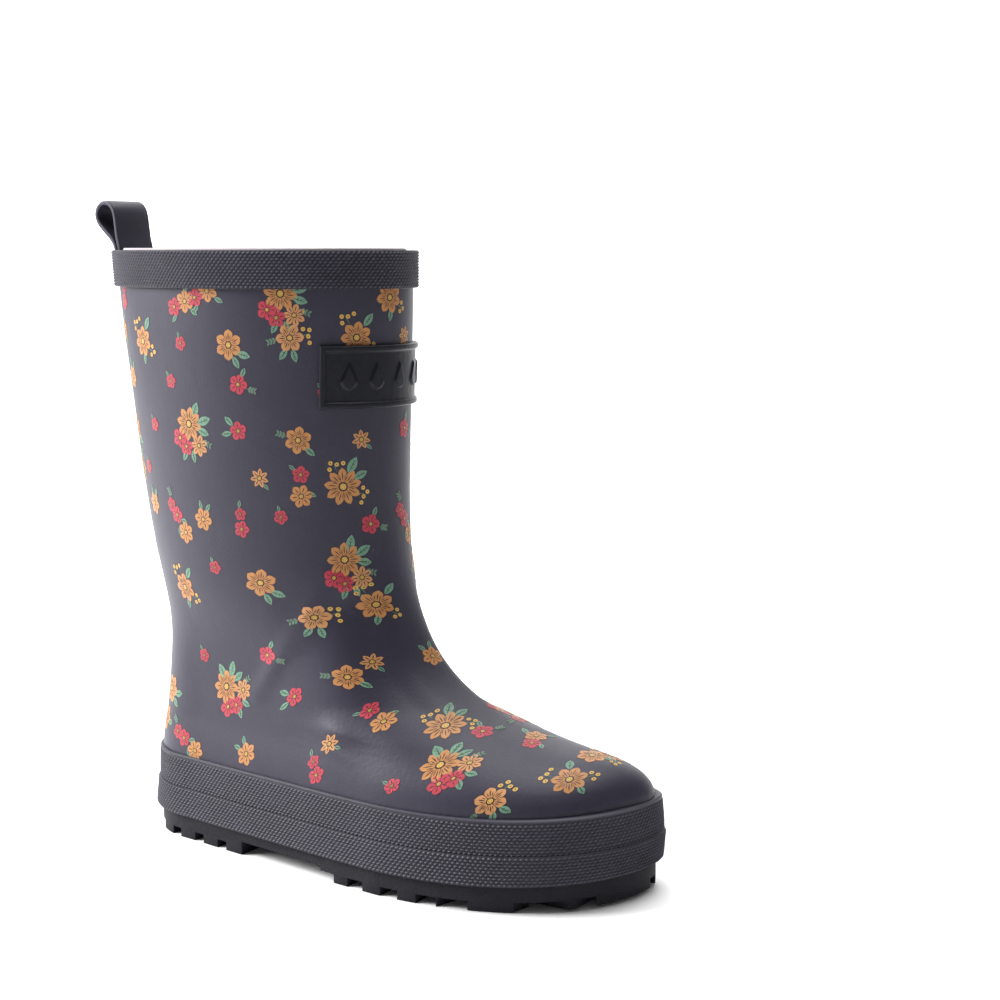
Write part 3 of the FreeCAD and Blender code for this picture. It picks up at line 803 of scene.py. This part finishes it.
# ---------------------------------------------------------------- knitted lining
# Pale cotton jersey sock bonded inside the rubber, with a soft rolled edge that shows just above the rim.
lining_tree = cad_tree("lining_sock")
lining_levels = [18.4, 20, 23] + list(np.arange(26, 50, 2.0)) + list(np.arange(50, 72, 3.0))
lining_levels += list(np.arange(72, 199, 4.0)) + [199.6]
inner_wall = []
for level in lining_levels:
    ring = level_ring(lining_tree, level * MM, 200, inside=True)
    out = outwards(ring)
    sag = np.array([noise.noise(Vector(place) * 55.0) for place in ring])
    share = min(1.0, max(0.0, (level - 26) / 10.0)) * min(1.0, (200.5 - level) / 6.0)
    inner_wall.append(ring - out * (0.25 * MM * (sag + 0.6) * share)[:, None])
rim_ring = inner_wall[-1]
rim_out = outwards(rim_ring)
roll = []
for inset, height in ((0.12, 200.25), (0.45, 200.62), (0.85, 200.6), (1.1, 200.2)):
    ring = rim_ring + rim_out * inset * MM
    ring[:, 2] = height * MM
    roll.append(ring)
outer_wall = [ring + outwards(ring) * MM for ring in reversed(inner_wall)]
floor_ring = inner_wall[0]
floor_middle = np.array([0.062, 0.0, 0.0184])


def drawn_in(ring, share, height):
    small = floor_middle + (ring - floor_middle) * share
    small[:, 2] = height * MM
    return small


inner_floor = [drawn_in(floor_ring, share, 18.1) for share in (0.04, 0.3, 0.6, 0.85, 0.98)]
outer_floor = [drawn_in(floor_ring, share, 17.0) for share in (1.0, 0.85, 0.6, 0.3, 0.04)]
lining = ring_mesh("jersey_lining", inner_floor + inner_wall + roll + outer_wall + outer_floor, ends="middle")
jersey = Finish("cotton_jersey", (0.40, 0.36, 0.38), 0.9)
axes = jersey.node("ShaderNodeSeparateXYZ", {"Vector": jersey.place})
height = Sum(jersey.tree, axes.outputs[2])
courses = (height * 5200.0).sine()
jersey.tint(0.5 + 0.12 * courses + 0.5 * (jersey.noise(900.0) - 0.5), 0.85, 1.1)
jersey.relief(courses * 0.2 + jersey.noise(2500.0, 2.0), 0.00012)
placed(lining, jersey, "boot", "lining_fabric", "lining_sock")

# ---------------------------------------------------------------- loose insole
# A foam sheet with a woven cover, cut to the foot; the cover is slightly dished at the heel. The two move as
# one piece.


def slab(name, node, low, high, edge, dished):
    """Closed sheet with rounded edges over a flat CAD layer."""
    ring = level_ring(cad_tree(node), (low + high) / 2 * MM, 200)
    out = outwards(ring)
    rings = []
    under = [(0.04, 0, low), (0.5, 0, low), (0.9, 0, low), (1, edge, low)]
    rounded = [(1, 0, low + edge * 0.8), (1, 0, high - edge * 0.8), (1, edge, high)]
    over = [(share, 0, high) for share in (0.9, 0.7, 0.5, 0.3, 0.04)]
    for share, inset, height in under + rounded + over:
        layer = floor_middle + (ring - out * inset * MM - floor_middle) * share
        away = np.hypot(layer[:, 0] / MM, layer[:, 1] / MM)
        dip = dished * np.clip(1 - (away / 19.0) ** 2, 0, 1) if height == high else 0.0
        layer[:, 2] = (height - dip) * MM
        rings.append(layer)
    return ring_mesh(name, rings, ends="middle")


foam = slab("insole_foam_sheet", "insole_foam", 18.35, 21.75, 0.5, 0.0)
foam_finish = Finish("insole_foam", (0.66, 0.62, 0.55), 0.85)
foam_finish.tint(foam_finish.noise(1400.0), 0.8, 1.1).relief(foam_finish.noise(1800.0, 2.0), 0.0002)
placed(foam, foam_finish, "insole", "insole_foam", "insole_foam")
cover = slab("insole_woven_cover", "insole_cover", 21.76, 22.35, 0.25, 0.35)
weave = Finish("insole_weave", (0.36, 0.33, 0.31), 0.9)
parts = weave.node("ShaderNodeSeparateXYZ", {"Vector": weave.place})
warp, weft = Sum(weave.tree, parts.outputs[0]) * 5200.0, Sum(weave.tree, parts.outputs[1]) * 5200.0
cloth = warp.sine() * weft.sine()
weave.tint(0.5 + 0.4 * cloth, 0.7, 1.15).relief(cloth, 0.0002)
placed(cover, weave, "insole", "insole_fabric", "insole_cover")

# ---------------------------------------------------------------- layers inside the walls and sole
# Stiffeners, filler, felt and board are hidden between the rubber and the lining, and keep their CAD shapes.
stiffener = ((0.05, 0.05, 0.055), 0.7)
hidden = {
    "heel_counter": stiffener, "toe_puff": stiffener,
    "ankle_patch_lateral": stiffener, "ankle_patch_medial": stiffener,
    "midsole_filler": ((0.09, 0.08, 0.08), 0.8), "bottom_felt": ((0.16, 0.155, 0.15), 0.95),
    "insole_board": ((0.27, 0.19, 0.11), 0.8),
}
for name, (colour, roughness) in hidden.items():
    inner = Finish(name + "_finish", colour, roughness)
    inner.tint(inner.noise(400.0), 0.8, 1.2).relief(inner.noise(1200.0, 2.0), 0.0001)
    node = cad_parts[name]
    node.data.materials.clear()
    node.data.materials.append(inner.material)

# ---------------------------------------------------------------- floor, light and camera
# Plain white sweep, a big soft light to the left, one overhead, one on the sweep, and dim surroundings.
bend_start, bend_radius = 0.8, 0.7
sweep = [(-3.0, 0.0), (bend_start, 0.0)]
for degrees in range(10, 91, 10):
    turn = math.radians(degrees)
    sweep.append((bend_start + bend_radius * math.sin(turn), bend_radius - bend_radius * math.cos(turn)))
sweep.append((bend_start + bend_radius, 2.0))
heading = math.radians(34)
away = Vector((-math.sin(heading), math.cos(heading), 0))
beside = Vector((away.y, -away.x, 0))
sweep_places = []
for run, rise in sweep:
    for side in (-3, 3):
        sweep_places.append(tuple(away * run + beside * side + Vector((0, 0, rise))))
sweep_faces = [(2 * row, 2 * row + 1, 2 * row + 3, 2 * row + 2) for row in range(len(sweep) - 1)]
sweep_mesh = bpy.data.meshes.new("studio_sweep")
sweep_mesh.from_pydata(sweep_places, [], sweep_faces)
floor = bpy.data.objects.new("studio_sweep", sweep_mesh)
bpy.context.scene.collection.objects.link(floor)
for face in sweep_mesh.polygons:
    face.use_smooth = True
floor_finish = Finish("studio_paper", (0.95, 0.95, 0.95), 0.9)
floor.data.materials.append(floor_finish.material)

world = bpy.data.worlds.new("pale_room")
bpy.context.scene.world = world
world.use_nodes = True
world.node_tree.nodes["Background"].inputs[0].default_value = (1, 1, 1, 1)
world.node_tree.nodes["Background"].inputs[1].default_value = 0.2
bpy.context.scene.view_settings.view_transform = "Standard"


def softbox(name, place, aim, size, power):
    lamp = bpy.data.lights.new(name, "AREA")
    lamp.shape = "RECTANGLE"
    lamp.size, lamp.size_y = size
    lamp.energy = power
    stand = bpy.data.objects.new(name, lamp)
    bpy.context.scene.collection.objects.link(stand)
    stand.location = place
    stand.rotation_euler = (Vector(aim) - Vector(place)).to_track_quat("-Z", "Y").to_euler()


softbox("key_light", (-0.95, -0.55, 0.75), (0.03, 0, 0.10), (0.8, 0.9), 44)
softbox("top_light", (0.15, 0.1, 1.2), (0.05, 0, 0.0), (0.8, 0.8), 11)
above_sweep = away * 0.5 + Vector((0, 0, 1.3))
softbox("backdrop_light", above_sweep, away * 1.5 + Vector((0, 0, 0.35)), (1.6, 0.5), 30)

lens = bpy.data.cameras.new("studio_camera")
lens.lens = 66.6
lens.sensor_width = 36.0
lens.clip_start = 0.01
camera = bpy.data.objects.new("studio_camera", lens)
bpy.context.scene.collection.objects.link(camera)
camera.location = (0.4316, -0.4759, 0.200)
pitch = math.radians(7.7)
look = Vector((-math.sin(heading) * math.cos(pitch), math.cos(heading) * math.cos(pitch), -math.sin(pitch)))
camera.rotation_euler = look.to_track_quat("-Z", "Y").to_euler()
bpy.context.scene.camera = camera
